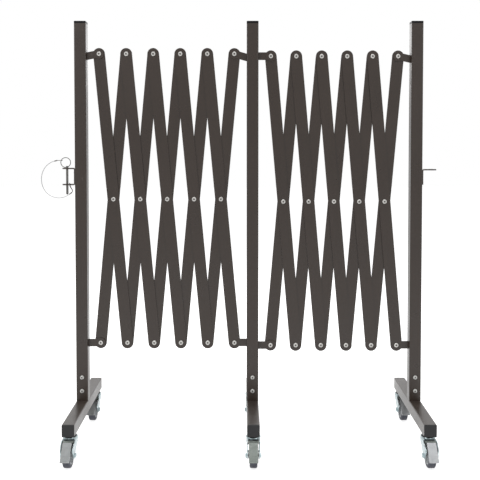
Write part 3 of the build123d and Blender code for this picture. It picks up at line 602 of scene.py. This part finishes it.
def addBead(bm, x, y, z):
    w = weld
    rows = []
    for ring in range(w["rings"] + 1):
        share = ring / w["rings"]
        end = min(1, share / w["endShare"], (1 - share) / w["endShare"])
        ripple = 1 - w["ripple"] * abs(cos(pi * w["ripples"] * share))
        radius = w["radius"] * ripple * (w["endRadius"] + (1 - w["endRadius"]) * end)
        height = z - w["half"] + 2 * w["half"] * share
        rows.append([bm.verts.new((x + radius * cos(2 * pi * turn / w["sides"]),
                                   y + radius * sin(2 * pi * turn / w["sides"]), height))
                     for turn in range(w["sides"])])
    for below, above in zip(rows, rows[1:]):
        for turn in range(w["sides"]):
            following = (turn + 1) % w["sides"]
            bm.faces.new((below[turn], below[following], above[following], above[turn]))
    bm.faces.new(rows[0])
    bm.faces.new(rows[-1])


for number, (side, toward, layer, height) in enumerate(lugs, 1):
    low, high = map(Vector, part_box(f"{side}_foot"))
    bm = bmesh.new()
    for face in slatFaces[layer]:
        addBead(bm, (low.x + high.x) / 2 + toward * weld["out"], postLine + face, height)
    finishPiece(bm, f"lug_weld_{number}", f"{side}_stand", "powderCoat",
                sharpAngle=60)
print("welds made")


# ---- the wire lanyard between the pull ring and the clevis
lanyard = {
    "wire": 0.002,
    "length": 0.2208,
    "points": [(-0.65245, 0.02798, 0.9591), (-0.66755, 0.02748, 0.9552),
               (-0.68965, 0.02598, 0.9328), (-0.69805, 0.02398, 0.9015),
               (-0.69225, 0.02198, 0.8691), (-0.67305, 0.01998, 0.8440),
               (-0.64325, 0.01758, 0.8323), (-0.61185, 0.01568, 0.8369),
               (-0.59885, 0.01498, 0.8467)],
    "eye": [(-0.59205, 0.01568, 0.8520), (-0.58565, 0.01638, 0.8568),
            (-0.59665, 0.01878, 0.8725), (-0.59795, 0.01898, 0.8849),
            (-0.59795, 0.01038, 0.8849), (-0.59665, 0.01058, 0.8725),
            (-0.58565, 0.01318, 0.8568), (-0.59205, 0.01348, 0.8520)],
    "sleeve": 0.0021,
    "sleeveBore": 0.0009,
    "sleeveEdge": 0.0004,
    "sleeveLength": 0.0100,
    "crimps": (0.30, 0.42, 0.58, 0.70),
}


def bakeMesh(piece):
    bpy.context.view_layer.update()
    depsgraph = bpy.context.evaluated_depsgraph_get()
    return bpy.data.meshes.new_from_object(piece.evaluated_get(depsgraph))


def wireMesh(name, points, thick):
    # the tube's mesh and its own line
    curve = bpy.data.curves.new(name, "CURVE")
    curve.dimensions = "3D"
    curve.resolution_u = 14
    spline = curve.splines.new("NURBS")
    spline.points.add(len(points) - 1)
    for point, place in zip(spline.points, points):
        point.co = (*place, 1)
    spline.order_u = 3
    spline.use_endpoint_u = True
    route = bpy.data.objects.new(name, curve)
    bpy.context.scene.collection.objects.link(route)
    line = bakeMesh(route)
    path = [tuple(vert.co) for vert in line.vertices]
    curve.bevel_depth = thick / 2
    curve.bevel_resolution = 3
    curve.use_fill_caps = True
    mesh = bakeMesh(route)
    bpy.data.objects.remove(route)
    bpy.data.meshes.remove(line)
    return mesh, path


def makeAnchor(w):
    # the crimped sleeve and the loop of wire round the clevis's lower arm
    loop = wireMesh("anchorLoop", w["eye"], w["wire"])[0]
    bm = bmesh.new()
    out, bore, edge, long = w["sleeve"], w["sleeveBore"], w["sleeveEdge"], w["sleeveLength"]
    before, crimpStart, crimpEnd, after = (long * share for share in w["crimps"])
    spinProfile(bm, [(0, bore), (0, out - edge), (edge, out), (before, out),
                     (crimpStart, out - edge), (crimpEnd, out - edge), (after, out),
                     (long - edge, out), (long, out - edge), (long, bore)], steps=24)
    start = Vector(w["points"][-1])
    along = (start - Vector(w["points"][-2])).normalized()
    turn = Vector((1, 0, 0)).rotation_difference(along).to_matrix()
    bmesh.ops.rotate(bm, cent=(0, 0, 0), matrix=turn, verts=bm.verts)
    bmesh.ops.translate(bm, vec=start, verts=bm.verts)
    bm.from_mesh(loop)
    bpy.data.meshes.remove(loop)
    return finishPiece(bm, "lanyard_eye", "left_stand", "darkSteelPaintedShade",
                       replaces=("lanyard_anchor",), sharpAngle=50)


def makeWire(w, anchor):
    mesh, path = wireMesh("lanyardRoute", w["points"], w["wire"])
    mesh.materials.clear()
    mesh.materials.append(materials["wireSteel"])
    for face in mesh.polygons:
        face.use_smooth = True
    piece = bpy.data.objects.new("lanyard_wire", mesh)
    bpy.context.scene.collection.objects.link(piece)
    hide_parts("lanyard")
    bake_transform(piece)


makeWire(lanyard, makeAnchor(lanyard))
print("lanyard made")


# ---- floor, light and world. What the camera and reflections see of the floor glows
studio = {"floorSize": 14.0, "floorColour": 0.86, "floorGlow": 0.66, "worldLevel": 0.48}


def makeFloor():
    mat = bpy.data.materials.new("paleFloor")
    mat.use_nodes = True
    tree = mat.node_tree
    shader = tree.nodes["Principled BSDF"]
    shader.inputs["Base Color"].default_value = (*[studio["floorColour"]] * 3, 1)
    shader.inputs["Roughness"].default_value = 0.9
    shader.inputs["Specular IOR Level"].default_value = 0.1
    shader.inputs["Emission Color"].default_value = (1, 1, 1, 1)
    path = addNode(tree, "ShaderNodeLightPath")
    seen = addNode(tree, "ShaderNodeMath", operation="MAXIMUM")
    lift = addNode(tree, "ShaderNodeMath", operation="MULTIPLY")
    lift.inputs[1].default_value = studio["floorGlow"]
    tree.links.new(path.outputs["Is Camera Ray"], seen.inputs[0])
    tree.links.new(path.outputs["Is Glossy Ray"], seen.inputs[1])
    tree.links.new(seen.outputs[0], lift.inputs[0])
    tree.links.new(lift.outputs[0], shader.inputs["Emission Strength"])
    bm = bmesh.new()
    bmesh.ops.create_grid(bm, x_segments=1, y_segments=1, size=studio["floorSize"])
    mesh = bpy.data.meshes.new("floor")
    bm.to_mesh(mesh)
    bm.free()
    mesh.materials.append(mat)
    floor = bpy.data.objects.new("floor", mesh)
    bpy.context.scene.collection.objects.link(floor)


lights = {
    "overhead": dict(place=(0.0, -0.6, 3.6), aim=(0, 0, 0.6), size=2.4, power=56),
    "frontLeft": dict(place=(-2.8, -3.2, 2.5), aim=(0, 0, 0.7), size=1.0, power=58),
    "frontRight": dict(place=(2.8, -3.0, 1.9), aim=(0, 0, 0.7), size=1.4, power=28),
    "behind": dict(place=(0.0, 3.2, 2.6), aim=(0, 0, 0.7), size=2.6, power=30),
}


def makeLights():
    for name, l in lights.items():
        data = bpy.data.lights.new(name, "AREA")
        data.size = l["size"]
        data.energy = l["power"]
        lamp = bpy.data.objects.new(name, data)
        lamp.location = l["place"]
        sight = Vector(l["aim"]) - Vector(l["place"])
        lamp.rotation_euler = sight.to_track_quat("-Z", "Y").to_euler()
        bpy.context.scene.collection.objects.link(lamp)
    world = bpy.data.worlds.new("studio")
    bpy.context.scene.world = world
    world.use_nodes = True
    tree = world.node_tree
    back = tree.nodes["Background"]
    back.inputs["Color"].default_value = (1, 1, 1, 1)
    path = addNode(tree, "ShaderNodeLightPath")
    seen = addNode(tree, "ShaderNodeMath", operation="MAXIMUM")
    seenToo = addNode(tree, "ShaderNodeMath", operation="MAXIMUM")
    level = addNode(tree, "ShaderNodeMapRange")
    level.inputs["To Min"].default_value = studio["worldLevel"]
    tree.links.new(path.outputs["Is Camera Ray"], seen.inputs[0])
    tree.links.new(path.outputs["Is Glossy Ray"], seen.inputs[1])
    tree.links.new(seen.outputs[0], seenToo.inputs[0])
    tree.links.new(path.outputs["Is Transmission Ray"], seenToo.inputs[1])
    tree.links.new(seenToo.outputs[0], level.inputs["Value"])
    tree.links.new(level.outputs[0], back.inputs["Strength"])
    bpy.context.scene.view_settings.view_transform = "Standard"


makeFloor()
makeLights()
print("studio made")

bpy.context.view_layer.update()
